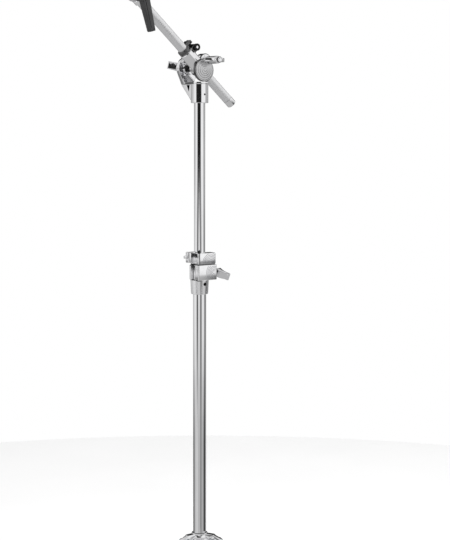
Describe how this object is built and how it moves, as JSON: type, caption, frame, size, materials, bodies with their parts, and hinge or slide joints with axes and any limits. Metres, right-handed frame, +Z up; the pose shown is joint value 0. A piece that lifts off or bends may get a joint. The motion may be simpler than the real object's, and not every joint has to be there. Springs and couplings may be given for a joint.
{
  "type": "cymbal boom stand",
  "caption": "Folding tripod stand with a telescoping post, a height memory lock and a tilting, sliding boom that ends in a cymbal tilter.",
  "frame": {"origin": "on the post's axis, at the flat underside of the lower tube's end plug, 12 mm above the floor", "axes": "+Z up along the post; the boom swings in the XZ plane with its tip towards -X; the boom tilts about Y"},
  "size_m": [0.7113, 0.8214, 1.7661],
  "materials": {
    "chrome": "bright polished plating",
    "satin": "satin plated tube",
    "steel": "plain turned steel",
    "black_steel": "black oxide",
    "grip": "black moulded grip",
    "nylon": "black nylon",
    "rubber": "matt rubber",
    "felt": "pressed wool felt"
  },
  "bodies": {
    "base": {"lower_tube": "chrome", "tube_end_plug": "rubber", "brace_hub": "chrome", "brace_hub_screw": "steel", "clamp_body": "chrome", "clamp_bushing": "nylon", "clamp_shoe": "nylon", "clamp_set_screw": "black_steel"},
    "clamp_screw": {"clamp_wing_screw": "chrome"},
    "memory_lock": {"memory_lock_body": "chrome", "memory_lock_pin": "black_steel", "memory_lock_screw": "chrome"},
    "post": {"upper_tube": "chrome", "post_head": "chrome", "post_head_pin": "steel"},
    "tilt_nut": {"tilt_wing_nut": "chrome"},
    "boom_clamp": {"boom_clamp": "chrome", "boom_clamp_cap": "chrome", "tilt_axle": "steel", "tilt_spring": "black_steel", "boom_lock_nut": "steel", "boom_pinch_screw": "steel"},
    "boom_lock": {"boom_lock_screw": "chrome"},
    "boom_ring": {"boom_ring": "chrome", "boom_ring_screw": "steel"},
    "boom": {"boom_tube": "satin", "boom_end_cap": "chrome", "tilter_socket": "chrome", "tilter_bolt": "steel"},
    "tilter_lever": {"tilter_lever": "grip"},
    "tilter": {"tilter_body": "chrome", "cymbal_rod": "steel", "cup_washer": "chrome", "felt_lower": "felt", "felt_upper": "felt", "cymbal_sleeve": "nylon"},
    "cymbal_nut": {"cymbal_wing_nut": "chrome"},
    "leg_hub": {"leg_hub": "chrome"},
    "hub_screw": {"leg_hub_screw": "chrome"},
    "leg_1": {"leg_1": "chrome", "foot_1": "rubber"},
    "brace_1": {"brace_1": "chrome"},
    "leg_2": {"leg_2": "chrome", "foot_2": "rubber"},
    "brace_2": {"brace_2": "chrome"},
    "leg_3": {"leg_3": "chrome", "foot_3": "rubber"},
    "brace_3": {"brace_3": "chrome"}
  },
  "joints": [
    {"name": "clamp_screw_turn", "type": "hinge", "parent": "base", "child": "clamp_screw", "pos_m": [0.03, 0, 1.0385], "axis": [1, 0, 0], "continuous": true},
    {"name": "post_swivel", "type": "hinge", "parent": "base", "child": "memory_lock", "pos_m": [0, 0, 1.07], "axis": [0, 0, 1], "continuous": true},
    {"name": "post_slide", "type": "slide", "parent": "memory_lock", "child": "post", "axis": [0, 0, 1], "range_m": [-0.3, 0.3]},
    {"name": "boom_tilt", "type": "hinge", "parent": "post", "child": "boom_clamp", "pos_m": [0, 0, 1.4996], "axis": [0, 1, 0], "range_deg": [-74, 0]},
    {"name": "tilt_nut_turn", "type": "hinge", "parent": "post", "child": "tilt_nut", "pos_m": [0, 0.065, 1.4996], "axis": [0, 1, 0], "continuous": true},
    {"name": "boom_lock_turn", "type": "hinge", "parent": "boom_clamp", "child": "boom_lock", "pos_m": [0.01518, -0.03, 1.51688], "axis": [0, 1, 0], "continuous": true},
    {"name": "boom_turn", "type": "hinge", "parent": "boom_clamp", "child": "boom_ring", "pos_m": [-0.04282, 0, 1.53722], "axis": [-0.7513, 0, 0.66], "range_deg": [-90, 90]},
    {"name": "boom_slide", "type": "slide", "parent": "boom_ring", "child": "boom", "axis": [-0.7513, 0, 0.66], "range_m": [-0.1, 0.06]},
    {"name": "tilter_lever_turn", "type": "hinge", "parent": "boom", "child": "tilter_lever", "pos_m": [-0.17354, -0.03, 1.65206], "axis": [0, 1, 0], "range_deg": [-60, 60]},
    {"name": "tilter_tilt", "type": "hinge", "parent": "boom", "child": "tilter", "pos_m": [-0.17354, 0, 1.65206], "axis": [0, 1, 0], "range_deg": [-50, 50]},
    {"name": "cymbal_nut_turn", "type": "hinge", "parent": "tilter", "child": "cymbal_nut", "pos_m": [-0.17354, -0.0055, 1.71706], "axis": [0, 0, 1], "continuous": true},
    {"name": "leg_hub_slide", "type": "slide", "parent": "base", "child": "leg_hub", "axis": [0, 0, 1], "range_m": [0, 0.1376]},
    {"name": "hub_screw_turn", "type": "hinge", "parent": "leg_hub", "child": "hub_screw", "pos_m": [-0.0175, -0.03031, 0.407], "axis": [-0.5, -0.866, 0], "continuous": true},
    {"name": "leg_1_fold", "type": "hinge", "parent": "leg_hub", "child": "leg_1", "pos_m": [-0.046, 0, 0.4148], "axis": [0, -1, 0], "range_deg": [0, 38.1]},
    {"name": "brace_1_fold", "type": "hinge", "parent": "base", "child": "brace_1", "pos_m": [-0.046, 0, 0.0551], "axis": [0, 1, 0], "range_deg": [0, 38.1]},
    {"name": "leg_2_fold", "type": "hinge", "parent": "leg_hub", "child": "leg_2", "pos_m": [0.023, -0.03984, 0.4148], "axis": [0.866, 0.5, 0], "range_deg": [0, 38.1]},
    {"name": "brace_2_fold", "type": "hinge", "parent": "base", "child": "brace_2", "pos_m": [0.023, -0.03984, 0.0551], "axis": [-0.866, -0.5, 0], "range_deg": [0, 38.1]},
    {"name": "leg_3_fold", "type": "hinge", "parent": "leg_hub", "child": "leg_3", "pos_m": [0.023, 0.03984, 0.4148], "axis": [-0.866, 0.5, 0], "range_deg": [0, 38.1]},
    {"name": "brace_3_fold", "type": "hinge", "parent": "base", "child": "brace_3", "pos_m": [0.023, 0.03984, 0.0551], "axis": [0.866, -0.5, 0], "range_deg": [0, 38.1]}
  ],
  "couplings": [
    {"joint": "leg_1_fold", "follows": "leg_hub_slide", "rad_per_m": 4.82},
    {"joint": "brace_1_fold", "follows": "leg_hub_slide", "rad_per_m": 4.82},
    {"joint": "leg_2_fold", "follows": "leg_hub_slide", "rad_per_m": 4.82},
    {"joint": "brace_2_fold", "follows": "leg_hub_slide", "rad_per_m": 4.82},
    {"joint": "leg_3_fold", "follows": "leg_hub_slide", "rad_per_m": 4.82},
    {"joint": "brace_3_fold", "follows": "leg_hub_slide", "rad_per_m": 4.82}
  ]
}
